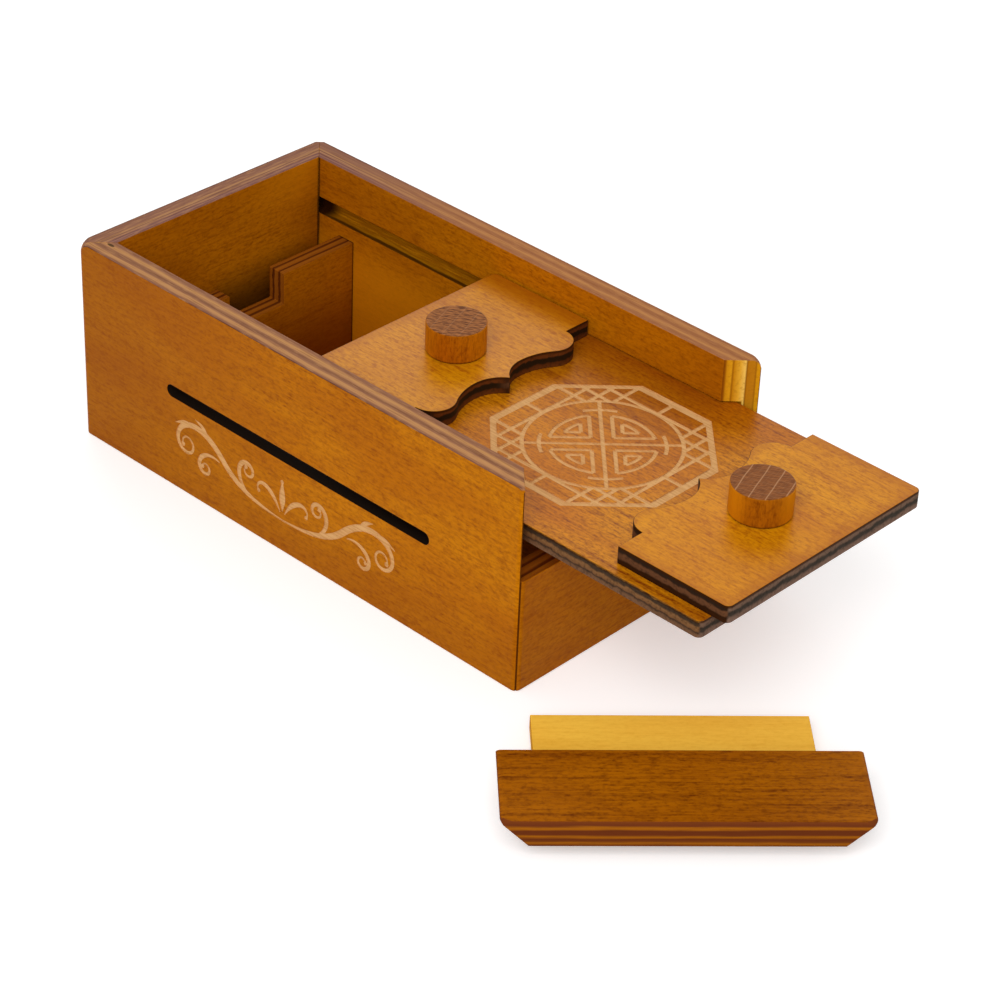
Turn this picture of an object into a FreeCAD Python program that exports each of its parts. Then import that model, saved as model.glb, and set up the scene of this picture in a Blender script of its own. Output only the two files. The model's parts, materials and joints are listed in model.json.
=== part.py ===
"""Wooden puzzle box: a plywood box, a lid that slides in its long walls, and a lift-out end panel.

The lid's right plate stands past the lid panel and covers the tongue of the end panel. The lid has
to go a little to the left before the end panel can be lifted out, and only then does the lid slide
out to the right. The pieces stand as the opened box does: the lid is drawn out over the low end wall
and the end panel lies on the table on its tongue.

Frame: millimetres, origin at the middle of the underside, +X towards the open end, +Z up.
"""
import FreeCAD
import Part
import Sketcher
import math
import os
import re

SIZES = [
    # Box
    ("box_length", 176.5),
    ("box_width", 95),
    ("box_height", 64),
    ("wall_thickness", 8),
    ("corner_radius", 2),
    ("low_wall_height", 35.4),
    # Bottom panel and its rebate in the walls
    ("bottom_thickness", 4.4),
    ("rebate_depth", 4),
    ("bottom_clearance", 0.1),
    # Slot in the front wall, with round ends
    ("slot_span", 101.4),
    ("slot_height", 3.8),
    ("slot_level", 32),
    ("slot_offset", 2.1),
    # Lid grooves in the long walls, measured down from the rim
    ("groove_drop", 19),
    ("groove_depth", 4),
    ("lid_clearance", 0.2),
    ("lid_side_clearance", 0.5),
    # Stepped divider and block near the left end
    ("divider_gap", 9.1),
    ("divider_thickness", 6.4),
    ("divider_lid_gap", 4.2),
    ("divider_step_drop", 10.4),
    ("divider_high_length", 28.7),
    ("block_thickness", 6),
    ("block_level", 34.3),
    ("block_length", 37.3),
    # Lid panel and how far it stands from the left end wall
    ("lid_length", 150),
    ("lid_thickness", 5.2),
    ("lid_corner_radius", 1.8),
    ("lid_opening", 74.7),
    # Plates on the lid, with a bracket-shaped edge
    ("plate_thickness", 5.2),
    ("plate_side_clearance", 0.6),
    ("plate_overhang", 5.2),
    ("tab_length", 36.8),
    ("tab_width", 9.1),
    ("lobe_reach", 43.4),
    ("valley_reach", 39),
    ("valley_offset", 8.8),
    ("cusp_reach", 43.6),
    # Knobs and the screws that hold them
    ("knob_radius", 8.6),
    ("knob_height", 9),
    ("knob_inset", 22.5),
    ("screw_radius", 1.25),
    ("screw_clearance", 0.05),
    ("screw_bite", 5.5),
    ("screw_tip_length", 2),
    ("screw_head_radius", 2.8),
    ("screw_head_height", 1.6),
    # Lift-out end panel and where it lies on the table
    ("end_joint_gap", 0.2),
    ("tongue_width", 73.2),
    ("tongue_thickness", 4.4),
    ("tongue_drop", 24.8),
    ("tongue_clearance", 0.3),
    ("end_panel_x", 144.3),
    ("end_panel_y", -46.4),
    ("end_panel_turn", 46.25),
]

doc = FreeCAD.newDocument("PuzzleBox")
sheet = doc.addObject("Spreadsheet::Sheet", "Sizes")
for row, (alias, size) in enumerate(SIZES, start=1):
    sheet.set(f"A{row}", alias)
    sheet.set(f"B{row}", str(size))
    sheet.setAlias(f"B{row}", alias)
doc.recompute()

ALIAS_PATTERN = re.compile(r"\b(" + "|".join(alias for alias, size in SIZES) + r")\b")
subparts = []


def bound(expression):
    """The expression with each size read from the sheet."""
    return ALIAS_PATTERN.sub(r"Sizes.\1", expression)


def number(expression):
    """The expression's value now, for a first drawing of a sketch."""
    return float(sheet.evalExpression(expression))


def new_body(label):
    """An empty sub-part."""
    body = doc.addObject("PartDesign::Body", label)
    body.Label = label
    subparts.append(body)
    return body


def place(body, x, y, z, yaw="0", roll="0"):
    """Put a sub-part at a point, rolled about X and then turned about Z, in degrees."""
    point = f"create(<<vector>>; {x}; {y}; {z})"
    turn = f"create(<<rotation>>; {yaw}; 0; {roll})"
    body.setExpression("Placement", bound(f"create(<<placement>>; {point}; {turn})"))


def new_sketch(body, plane_role, name):
    """An empty sketch on one of the body's own origin planes."""
    sketch = body.newObject("Sketcher::SketchObject", f"{body.Label}_{name}")
    plane = next(item for item in body.Origin.OriginFeatures if item.Role == plane_role)
    sketch.AttachmentSupport = [(plane, "")]
    sketch.MapMode = "FlatFace"
    return sketch


def bind(sketch, constraint, expression):
    """Add a dimension that follows an expression."""
    index = sketch.addConstraint(constraint)
    sketch.setExpression(f"Constraints[{index}]", bound(expression))


def pin_point(sketch, edge, end, corner):
    """Hold an end point of an edge at a corner given by two expressions."""
    origin, horizontal_axis, vertical_axis = -1, -1, -2
    x, y = corner
    if x == "0":
        sketch.addConstraint(Sketcher.Constraint("PointOnObject", edge, end, vertical_axis))
    else:
        bind(sketch, Sketcher.Constraint("DistanceX", origin, 1, edge, end, number(x)), x)
    if y == "0":
        sketch.addConstraint(Sketcher.Constraint("PointOnObject", edge, end, horizontal_axis))
    else:
        bind(sketch, Sketcher.Constraint("DistanceY", origin, 1, edge, end, number(y)), y)


def arc_between(start, end, radius, leftward):
    """The shorter arc between two points, with its centre to the left or right of the way there."""
    chord = end - start
    across = FreeCAD.Vector(-chord.y, chord.x, 0).normalize()
    height = math.sqrt(radius ** 2 - (chord.Length / 2) ** 2)
    centre = (start + end) / 2 + across * (height if leftward else -height)
    first, last = (start, end) if leftward else (end, start)
    angles = [math.atan2(point.y - centre.y, point.x - centre.x) for point in (first, last)]
    circle = Part.Circle(centre, FreeCAD.Vector(0, 0, 1), radius)
    return Part.ArcOfCircle(circle, angles[0], angles[1])


def draw_outline(sketch, corners, arcs=None):
    """A closed outline through the corners; arcs maps an edge to its radius and its centre's side."""
    arcs = arcs or {}
    points = [FreeCAD.Vector(number(x), number(y), 0) for x, y in corners]
    count = len(points)
    first_edge = len(sketch.Geometry)
    starts = []
    ends = []
    for index, start in enumerate(points):
        end = points[(index + 1) % count]
        edge = first_edge + index
        if index in arcs:
            radius, side = arcs[index]
            leftward = side == "left"
            sketch.addGeometry(arc_between(start, end, number(radius), leftward))
            starts.append((edge, 1 if leftward else 2))
            ends.append((edge, 2 if leftward else 1))
        else:
            sketch.addGeometry(Part.LineSegment(start, end))
            starts.append((edge, 1))
            ends.append((edge, 2))
    for index in range(count):
        sketch.addConstraint(Sketcher.Constraint("Coincident", *ends[index - 1], *starts[index]))
        pin_point(sketch, *starts[index], corners[index])
    for index, (radius, side) in arcs.items():
        bind(sketch, Sketcher.Constraint("Radius", first_edge + index, number(radius)), radius)


def draw_circle(sketch, centre, radius):
    """A circle about a centre given by two expressions."""
    middle = FreeCAD.Vector(number(centre[0]), number(centre[1]), 0)
    circle = Part.Circle(middle, FreeCAD.Vector(0, 0, 1), number(radius))
    edge = sketch.addGeometry(circle)
    pin_point(sketch, edge, 3, centre)
    bind(sketch, Sketcher.Constraint("Radius", edge, number(radius)), radius)


def pad(body, sketch, length):
    """Raise a sketch into a solid along its plane's normal."""
    feature = body.newObject("PartDesign::Pad", f"{sketch.Name}_pad")
    feature.Profile = sketch
    feature.setExpression("Length", bound(length))
    doc.recompute()
    return feature


def require_cut(body, feature):
    """Stop if a cut took nothing away."""
    doc.recompute()
    if not feature.Shape.Volume < feature.BaseFeature.Shape.Volume:
        raise RuntimeError(f"{feature.Name} cuts nothing from {body.Label}")


def cut_through(body, sketch):
    """Cut a sketch right through the solid, both ways from its plane."""
    feature = body.newObject("PartDesign::Pocket", f"{sketch.Name}_cut")
    feature.Profile = sketch
    feature.Type = "ThroughAll"
    feature.SideType = "Symmetric"
    require_cut(body, feature)


def rectangle(left, right, low, high):
    """The four corners of a rectangle."""
    return [(left, low), (right, low), (right, high), (left, high)]


def board(label, corners, height, arcs=None, holes=()):
    """A flat or upright board: an outline in plan raised to a height, with round holes in it."""
    body = new_body(label)
    sketch = new_sketch(body, "XY_Plane", "outline")
    draw_outline(sketch, corners, arcs)
    for hole in holes:
        draw_circle(sketch, hole, "screw_radius + screw_clearance")
    pad(body, sketch, height)
    return body


def mitred_board(label, length, height):
    """An upright board with 45 degree ends: outer face at y = 0, bottom edge at z = 0."""
    bite = "corner_radius * (1 - sqrt(0.5))"
    corners = [
        (f"-{length} / 2 + {bite}", bite),
        (f"-{length} / 2 + corner_radius", "0"),
        (f"{length} / 2 - corner_radius", "0"),
        (f"{length} / 2 - {bite}", bite),
        (f"{length} / 2 - wall_thickness", "wall_thickness"),
        (f"-{length} / 2 + wall_thickness", "wall_thickness"),
    ]
    rounds = {0: ("corner_radius", "left"), 2: ("corner_radius", "left")}
    return board(label, corners, height, rounds)


def cut_channel(body, name, depth, low, high):
    """A channel along the inner face of a wall."""
    sketch = new_sketch(body, "YZ_Plane", name)
    draw_outline(sketch, rectangle(f"wall_thickness - {depth}", "wall_thickness", low, high))
    cut_through(body, sketch)


# Levels and places that several pieces share
lid_left = "(-box_length / 2 + wall_thickness + lid_opening)"
lid_right = f"({lid_left} + lid_length)"
groove_floor = "(box_height - groove_drop)"
lid_underside = f"({groove_floor} + lid_clearance)"
lid_top = f"({lid_underside} + lid_thickness)"
plate_top = f"({lid_top} + plate_thickness)"
right_plate_edge = f"({lid_right} + plate_overhang)"
inner_width = "(box_width - 2 * wall_thickness)"
inner_left = "(-box_length / 2 + wall_thickness)"


def make_wall(label, length, height, grooved):
    """One wall of the box with its bottom rebate and, on the long walls, its lid groove."""
    body = mitred_board(label, length, height)
    cut_channel(body, "rebate", "rebate_depth", "0", "bottom_thickness")
    if grooved:
        groove_top = f"{lid_top} + lid_clearance"
        cut_channel(body, "groove", "groove_depth", groove_floor, groove_top)
    return body


def cut_slot(body):
    """The long narrow slot with round ends in the front wall."""
    left = "slot_offset - slot_span / 2"
    right = "slot_offset + slot_span / 2"
    low = "slot_level - slot_height / 2"
    high = "slot_level + slot_height / 2"
    middle_left = f"{left} - slot_height / 2"
    middle_right = f"{right} + slot_height / 2"
    corners = [
        (left, low),
        (right, low),
        (middle_right, "slot_level"),
        (right, high),
        (left, high),
        (middle_left, "slot_level"),
    ]
    quarter = ("slot_height / 2", "left")
    sketch = new_sketch(body, "XZ_Plane", "slot")
    draw_outline(sketch, corners, {1: quarter, 2: quarter, 4: quarter, 5: quarter})
    cut_through(body, sketch)


def make_box():
    """The four walls and the bottom panel."""
    front_wall = make_wall("front_wall", "box_length", "box_height", True)
    cut_slot(front_wall)
    place(front_wall, "0", "-box_width / 2", "0")
    back_wall = make_wall("back_wall", "box_length", "box_height", True)
    place(back_wall, "0", "box_width / 2", "0", yaw="180")
    left_end_wall = make_wall("left_end_wall", "box_width", "box_height", False)
    place(left_end_wall, "-box_length / 2", "0", "0", yaw="-90")
    low_end_wall = make_wall("low_end_wall", "box_width", "low_wall_height", False)
    place(low_end_wall, "box_length / 2", "0", "0", yaw="90")
    margin = "(wall_thickness - rebate_depth + bottom_clearance)"
    half_length = f"(box_length / 2 - {margin})"
    half_width = f"(box_width / 2 - {margin})"
    corners = rectangle(f"-{half_length}", half_length, f"-{half_width}", half_width)
    bottom_panel = board("bottom_panel", corners, "bottom_thickness")
    place(bottom_panel, "0", "0", "0")


def make_divider():
    """The stepped upright board: low in front, high towards the back wall."""
    body = new_body("inner_divider")
    step = f"{inner_width} / 2 - divider_high_length"
    high_height = f"({lid_underside} - divider_lid_gap - bottom_thickness)"
    low_height = f"({high_height} - divider_step_drop)"
    corners = [
        (f"-{inner_width} / 2", "0"),
        (f"{inner_width} / 2", "0"),
        (f"{inner_width} / 2", high_height),
        (step, high_height),
        (step, low_height),
        (f"-{inner_width} / 2", low_height),
    ]
    sketch = new_sketch(body, "YZ_Plane", "outline")
    draw_outline(sketch, corners)
    pad(body, sketch, "divider_thickness")
    place(body, f"{inner_left} + divider_gap", "0", "bottom_thickness")


def make_corner_block():
    """The short block on the inside of the left end wall, from the front wall inwards."""
    corners = rectangle("0", "block_thickness", "0", "block_length")
    body = board("corner_block", corners, "block_level - bottom_thickness")
    place(body, inner_left, f"-{inner_width} / 2", "bottom_thickness")


def make_lid_panel():
    """The sheet that runs in the grooves, with its outer corners eased and two screw holes."""
    half_width = "(box_width / 2 - wall_thickness + groove_depth - lid_side_clearance)"
    radius = "lid_corner_radius"
    corners = [
        ("0", f"-{half_width}"),
        (f"lid_length - {radius}", f"-{half_width}"),
        ("lid_length", f"-{half_width} + {radius}"),
        ("lid_length", f"{half_width} - {radius}"),
        (f"lid_length - {radius}", half_width),
        ("0", half_width),
    ]
    rounds = {1: (radius, "left"), 3: (radius, "left")}
    holes = [("knob_inset", "0"), ("lid_length + plate_overhang - knob_inset", "0")]
    body = board("lid_panel", corners, "lid_thickness", rounds, holes)
    place(body, lid_left, "0", lid_underside)


def make_plate(label):
    """A plate with eased corners at x = 0 and a bracket-shaped edge: tabs, lobes and a cusp."""
    half_width = f"({inner_width} / 2 - plate_side_clearance)"
    lobe_edge = f"({half_width} - tab_width)"
    lobe_radius = "(lobe_reach - tab_length)"
    lobe_centre = f"({lobe_edge} - {lobe_radius})"
    # The hollow between lobe and valley touches the lobe's circle and is upright at the valley
    fall = "(valley_reach - tab_length)"
    run = f"({lobe_centre} - valley_offset)"
    hollow_radius = f"(({run}^2 + {fall}^2 - {lobe_radius}^2) / (2 * ({lobe_radius} - {fall})))"
    share = f"({lobe_radius} / ({lobe_radius} + {hollow_radius}))"
    touch_x = f"(tab_length + {share} * ({fall} + {hollow_radius}))"
    touch_y = f"({lobe_centre} - {share} * {run})"
    rise = "(cusp_reach - valley_reach)"
    cusp_radius = f"(({rise}^2 + valley_offset^2) / (2 * {rise}))"
    radius = "lid_corner_radius"
    corners = [
        (radius, f"-{half_width}"),
        ("tab_length", f"-{half_width}"),
        ("tab_length", f"-{lobe_edge}"),
        (touch_x, f"-{touch_y}"),
        ("valley_reach", "-valley_offset"),
        ("cusp_reach", "0"),
        ("valley_reach", "valley_offset"),
        (touch_x, touch_y),
        ("tab_length", lobe_edge),
        ("tab_length", half_width),
        (radius, half_width),
        ("0", f"{half_width} - {radius}"),
        ("0", f"-{half_width} + {radius}"),
    ]
    arcs = {
        2: (lobe_radius, "left"),
        3: (hollow_radius, "right"),
        4: (cusp_radius, "right"),
        5: (cusp_radius, "right"),
        6: (hollow_radius, "right"),
        7: (lobe_radius, "left"),
        10: (radius, "left"),
        12: (radius, "left"),
    }
    return board(label, corners, "plate_thickness", arcs, [("knob_inset", "0")])


def make_knob(label):
    """A slice of round dowel with a blind pilot hole in its underside."""
    body = new_body(label)
    outline = new_sketch(body, "XY_Plane", "outline")
    draw_circle(outline, ("0", "0"), "knob_radius")
    pad(body, outline, "knob_height")
    pilot = new_sketch(body, "XY_Plane", "pilot")
    draw_circle(pilot, ("0", "0"), "screw_radius + screw_clearance")
    hole = body.newObject("PartDesign::Pocket", f"{label}_pilot_cut")
    hole.Profile = pilot
    hole.Reversed = True
    hole.setExpression("Length", bound("screw_bite + screw_clearance"))
    require_cut(body, hole)
    return body


def make_screw(label):
    """A wood screw with a domed head, its head's flat side at z = 0 and its point upwards."""
    length = "(lid_thickness + plate_thickness + screw_bite)"
    dome_radius = "((screw_head_radius^2 + screw_head_height^2) / (2 * screw_head_height))"
    corners = [
        ("0", "-screw_head_height"),
        ("screw_head_radius", "0"),
        ("screw_radius", "0"),
        ("screw_radius", f"{length} - screw_tip_length"),
        ("0", length),
    ]
    body = new_body(label)
    sketch = new_sketch(body, "XZ_Plane", "outline")
    draw_outline(sketch, corners, {0: (dome_radius, "left")})
    turned = body.newObject("PartDesign::Revolution", f"{label}_turned")
    turned.Profile = sketch
    turned.ReferenceAxis = (sketch, ["V_Axis"])
    doc.recompute()
    return body


def make_lid_fittings():
    """The two plates on the lid panel, each with its knob and the screw that holds both."""
    left_axis = f"{lid_left} + knob_inset"
    right_axis = f"{right_plate_edge} - knob_inset"
    place(make_plate("left_plate"), lid_left, "0", lid_top)
    place(make_plate("right_plate"), right_plate_edge, "0", lid_top, yaw="180")
    for side, axis in (("left", left_axis), ("right", right_axis)):
        place(make_knob(f"{side}_knob"), axis, "0", plate_top)
        place(make_screw(f"{side}_knob_screw"), axis, "0", lid_underside)


def make_end_panel():
    """The upper part of the right end, lying on the table with its outer face up."""
    yaw = "end_panel_turn + 180"
    height = "box_height - low_wall_height - end_joint_gap"
    end_board = mitred_board("end_board", "box_width", height)
    face_level = "tongue_thickness + wall_thickness"
    place(end_board, "end_panel_x", "end_panel_y", face_level, yaw=yaw, roll="-90")
    # In the closed box the tongue ends just below the right plate
    tongue_rise = f"({lid_top} - tongue_clearance - low_wall_height - end_joint_gap)"
    corners = rectangle("-tongue_width / 2", "tongue_width / 2", "0", "tongue_thickness")
    end_tongue = board("end_tongue", corners, f"tongue_drop + {tongue_rise}")
    x = "end_panel_x - tongue_drop * sin(end_panel_turn)"
    y = "end_panel_y + tongue_drop * cos(end_panel_turn)"
    place(end_tongue, x, y, "tongue_thickness", yaw=yaw, roll="-90")


make_box()
make_divider()
make_corner_block()
make_lid_panel()
make_lid_fittings()
make_end_panel()
doc.recompute()

for item in doc.Objects:
    if "Invalid" in item.State or "Error" in item.State:
        raise RuntimeError(f"{item.Label} failed: {item.State}")
for body in subparts:
    if body.Shape.isNull() or not body.Shape.isValid() or len(body.Shape.Solids) != 1:
        raise RuntimeError(f"{body.Label} is not one valid solid")

os.makedirs("parts", exist_ok=True)
for body in subparts:
    body.Shape.exportStep(f"parts/{body.Label}.step")
    print(f"{body.Label}: {body.Shape.Volume:.1f} mm3")
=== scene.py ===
"""The wooden puzzle box as it looks: varnished plywood, burnt edges, engraved ornament, studio light."""

import json
import math

import bmesh
import bpy
from mathutils import Matrix, Vector
from mathutils.geometry import delaunay_2d_cdt


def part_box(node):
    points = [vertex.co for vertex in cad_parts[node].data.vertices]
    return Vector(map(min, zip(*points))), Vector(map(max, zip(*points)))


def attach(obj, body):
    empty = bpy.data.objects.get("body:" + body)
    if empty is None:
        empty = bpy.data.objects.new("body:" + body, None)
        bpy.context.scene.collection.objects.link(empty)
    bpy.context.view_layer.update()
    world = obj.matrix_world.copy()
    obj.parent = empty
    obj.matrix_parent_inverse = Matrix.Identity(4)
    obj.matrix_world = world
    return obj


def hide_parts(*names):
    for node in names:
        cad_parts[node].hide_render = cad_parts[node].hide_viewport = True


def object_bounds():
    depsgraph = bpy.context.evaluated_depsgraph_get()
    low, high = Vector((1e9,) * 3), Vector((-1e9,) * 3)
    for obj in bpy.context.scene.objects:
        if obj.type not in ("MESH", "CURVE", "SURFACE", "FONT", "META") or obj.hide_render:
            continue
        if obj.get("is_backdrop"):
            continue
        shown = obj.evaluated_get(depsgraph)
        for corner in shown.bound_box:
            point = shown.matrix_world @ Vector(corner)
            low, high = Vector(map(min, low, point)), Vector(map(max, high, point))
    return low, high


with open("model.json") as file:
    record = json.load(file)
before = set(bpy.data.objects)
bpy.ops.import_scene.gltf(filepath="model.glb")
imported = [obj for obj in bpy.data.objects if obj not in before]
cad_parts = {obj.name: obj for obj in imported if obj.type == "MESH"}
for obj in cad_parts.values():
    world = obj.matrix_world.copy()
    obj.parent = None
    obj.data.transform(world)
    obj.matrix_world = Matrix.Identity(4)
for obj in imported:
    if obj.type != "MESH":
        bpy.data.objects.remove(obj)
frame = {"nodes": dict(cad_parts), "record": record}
cad_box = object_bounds()

MM = 0.001
PER_METRE = 1000.0

ALONG = Vector((1.0, 0.0, 0.0))
BACK = Vector((0.0, 1.0, 0.0))
UP = Vector((0.0, 0.0, 1.0))


def srgb(red, green, blue):
    """A colour given as a screen shows it, 0 to 255, as linear light."""

    def linear(value):
        share = value / 255
        return share / 12.92 if share <= 0.04045 else ((share + 0.055) / 1.055) ** 2.4

    return (linear(red), linear(green), linear(blue), 1.0)


def layers(*rows):
    """Places from 0 to 1 with their colours, from rows of place, red, green and blue."""
    return [(place, srgb(*colour)) for place, *colour in rows]


def extents(node):
    """A CAD node's lowest and highest corner, in mm."""
    low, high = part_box(node)
    return low * PER_METRE, high * PER_METRE


BODY_OF = {node: body for body, nodes in frame["record"]["behaviour"]["bodies"].items() for node in nodes}

# How the end panel lies on the table: degrees from the box's length to the panel's length.
END_PANEL_TURN = 46.25

# Eased edges of the boards and the knobs, and the distance at which points are one, in mm.
BOARD_EASE = 0.25
KNOB_EASE = 0.45
WELDED = 0.005

# Bends in degrees: up to the first, faces are one, from the others on, edges are eased or shaded sharp.
FLAT_BEND = 0.5
EASED_BEND = 32
SHARP_BEND = 40

# The facets that round off a corner tip at the rim: degrees from the level.
TIP_FACETS = (15, 30, 45, 60, 75)

# The walls' tips at the rim: side of the box along X and Y, and rounding in mm.
WALL_TIPS = {
    "front_wall": ((-1, -1, 3.0), (1, -1, 1.2)),
    "back_wall": ((-1, 1, 0.9), (1, 1, 3.0)),
    "left_end_wall": ((-1, -1, 3.0), (-1, 1, 0.9)),
}

# The rounding of the end board's tips, in mm.
END_TIP = 2.6

# The engraving: depth, distance at which points are one, in mm, and its middle on the front and the lid.
ENGRAVED_DEPTH = 0.25
MERGED = 0.001
FRONT_ORNAMENT = Vector((-2.5, 0.0, 17.0)) * MM
LID_ORNAMENT = Vector((72.6, 0.0, 0.0)) * MM

# The engraved ground: how far it has to face out, how level it is in mm, and how flat in degrees.
GROUND_FACES = 0.9999
GROUND_LEVEL = 0.01
GROUND_BEND = 0.2

# The groove: the lid's clearance, lower and upper side and border, in mm, and place in the thickness.
GROOVE_CLEARANCE = 0.2
LID_LOW, LID_HIGH = extents("lid_panel")
GROOVE = (LID_LOW.z - GROOVE_CLEARANCE, LID_HIGH.z + GROOVE_CLEARANCE)
GROOVE_MARGIN = 0.15
GROOVE_SHARES = (0.48, 0.97)

# The slot with its burnt border: left and right end, lower and upper side, in mm.
SLOT = (-50.9, 55.1, 29.7, 34.3)

# The knot's middle, half length and half width on the front wall's rim, in mm.
KNOT = (-80.3, -41.8, 1.5, 0.6)

# Where a board meets another inside the box: axis and place in mm.
BACK_INSIDE = extents("back_wall")[0].y
SEAMS = {
    "back_wall": ("X", extents("left_end_wall")[1].x),
    "left_end_wall": ("Y", BACK_INSIDE),
    "inner_divider": ("Y", BACK_INSIDE),
}

# Tones of the varnished faces: shade, light, dark marks.
WALL_TONES = (srgb(182, 104, 4), srgb(196, 119, 5), srgb(138, 69, 4))
INNER_TONES = (srgb(178, 101, 4), srgb(192, 113, 5), srgb(128, 62, 3))
LID_TONES = (srgb(192, 110, 5), srgb(210, 132, 8), srgb(124, 54, 5))
PLATE_TONES = (srgb(196, 122, 5), srgb(210, 137, 7), srgb(158, 82, 6))
GOLD_PLATE_TONES = (srgb(202, 126, 5), srgb(215, 141, 7), srgb(160, 84, 6))
END_TONES = (srgb(158, 86, 2), srgb(170, 96, 3), srgb(92, 36, 2))
KNOB_TONES = (srgb(168, 88, 4), srgb(200, 119, 8), srgb(116, 52, 3))
DARK_KNOB_TONES = (srgb(140, 70, 3), srgb(168, 94, 7), srgb(100, 41, 3))
KNOB_TOP_TONES = (srgb(160, 98, 50), srgb(86, 43, 20))
DARK_KNOB_TOP_TONES = (srgb(138, 80, 39), srgb(78, 38, 18))
# The groove's wood in two tones, and a dark tone for its lip and for the painted shade at its left end.
GROOVE_TONES = (srgb(150, 91, 4), srgb(176, 114, 7), srgb(48, 20, 3))
TONGUE_TONES = (srgb(250, 194, 70), srgb(254, 202, 76), srgb(230, 164, 46))

# Tones of the engraving: bare wood, fibres, specks. Tones of the screws.
ENGRAVED_TONES = (srgb(216, 167, 110), srgb(196, 142, 86), srgb(160, 98, 46))
ZINC_TONES = (srgb(176, 176, 172), srgb(148, 150, 152))

# Cut edges, from the outer or the upper face inwards: places in the thickness and the tones there.
PLAIN_RIM_PLIES = layers(
    (0.00, 74, 43, 34), (0.04, 120, 80, 67), (0.12, 144, 99, 78), (0.22, 132, 90, 73),
    (0.34, 150, 105, 80), (0.44, 138, 94, 75), (0.50, 170, 123, 84), (0.56, 166, 119, 82),
    (0.60, 108, 69, 62), (0.65, 170, 123, 86), (0.72, 156, 109, 84), (0.77, 106, 69, 66),
    (0.83, 152, 107, 90), (0.90, 124, 84, 77), (1.00, 130, 87, 74),
)
STRIPED_RIM_PLIES = layers(
    (0.00, 78, 44, 34), (0.04, 128, 85, 66), (0.13, 146, 99, 72), (0.19, 182, 129, 84),
    (0.31, 186, 134, 84), (0.37, 152, 104, 74), (0.44, 132, 88, 64), (0.53, 138, 93, 66),
    (0.59, 176, 124, 82), (0.67, 190, 138, 84), (0.73, 180, 128, 80), (0.79, 152, 104, 74),
    (0.86, 140, 95, 70), (1.00, 146, 99, 74),
)
MITRE_PLIES = layers(
    (0.00, 214, 146, 14), (0.17, 220, 152, 18), (0.20, 168, 106, 14), (0.24, 196, 128, 20),
    (0.39, 190, 122, 18), (0.42, 150, 92, 10), (0.46, 250, 204, 96), (0.58, 236, 176, 50),
    (0.72, 208, 140, 20), (0.76, 166, 102, 12), (0.80, 226, 160, 26), (0.90, 214, 146, 20),
    (0.95, 150, 84, 8), (1.00, 124, 62, 6),
)
STAINED_PLIES = layers(
    (0.00, 134, 70, 10), (0.20, 148, 82, 16), (0.24, 78, 32, 5), (0.32, 96, 42, 7),
    (0.38, 152, 86, 20), (0.60, 144, 78, 15), (0.65, 80, 34, 6), (0.74, 100, 46, 9),
    (0.80, 156, 88, 20), (1.00, 138, 74, 12),
)
END_PLIES = layers(
    (0.00, 118, 58, 22), (0.18, 104, 48, 22), (0.26, 160, 92, 14), (0.31, 156, 88, 14),
    (0.37, 98, 44, 18), (0.53, 102, 46, 18), (0.60, 154, 88, 13), (0.65, 148, 82, 13),
    (0.71, 96, 42, 18), (0.80, 108, 52, 16), (0.87, 152, 86, 14), (1.00, 96, 44, 16),
)
GREY_BURNT_PLIES = layers(
    (0.00, 110, 82, 66), (0.28, 112, 86, 70), (0.42, 52, 44, 38), (0.58, 54, 46, 40),
    (0.72, 112, 86, 72), (1.00, 126, 98, 84),
)
RED_BURNT_PLIES = layers(
    (0.00, 84, 40, 14), (0.28, 94, 46, 17), (0.36, 28, 15, 8), (0.62, 32, 17, 9),
    (0.70, 80, 38, 13), (1.00, 98, 50, 19),
)
PLATE_SIDE_PLIES = layers(
    (0.00, 30, 18, 13), (0.28, 40, 24, 17), (0.38, 96, 60, 38), (0.60, 90, 56, 36),
    (0.70, 40, 18, 7), (1.00, 50, 21, 7),
)
# The lid's side plies; their first two stops are a painted highlight along the top edge.
LID_SIDE_PLIES_AND_HIGHLIGHT = layers(
    (0.00, 214, 148, 62), (0.07, 206, 138, 56), (0.10, 52, 38, 28), (0.30, 62, 46, 35),
    (0.40, 124, 86, 53), (0.58, 112, 76, 48), (0.66, 54, 40, 32), (0.76, 104, 73, 52),
    (1.00, 116, 83, 60),
)

# The walls' top edges: their plies, and how strongly dark fibres show.
RIMS = {
    "front_wall": (STRIPED_RIM_PLIES, 0.15),
    "back_wall": (STRIPED_RIM_PLIES, 0.45),
    "left_end_wall": (PLAIN_RIM_PLIES, 0.40),
    "low_end_wall": (STAINED_PLIES, 0.0),
}
WARM_RIM = srgb(174, 106, 52)
PALE_FIBRE = srgb(186, 136, 90)
DARK_FIBRE = srgb(110, 70, 60)

# Other tones.
EDGE_SHADE = srgb(96, 48, 20)
GOLD_SHADE = srgb(168, 104, 18)
CHAR = srgb(26, 18, 14)
# A dark tone for the seams, the tops of burnt edges, and the painted shadow low on the left wall.
DARK_SEAM_AND_SHADOW = srgb(46, 18, 3)
JOINT = srgb(92, 44, 6)
# A pale tone for painted light inside the box and on the knobs' sides.
PAINTED_LIGHT_TONE = srgb(216, 132, 10)
# The tone of the painted shade low on the boards inside the box.
INSIDE_SHADE_TONE = srgb(112, 46, 3)
# The tone of the painted contact shadow at a knob's foot.
KNOB_FOOT_SHADOW_TONE = srgb(60, 26, 6)
RAY_TONE = srgb(186, 138, 98)

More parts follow.
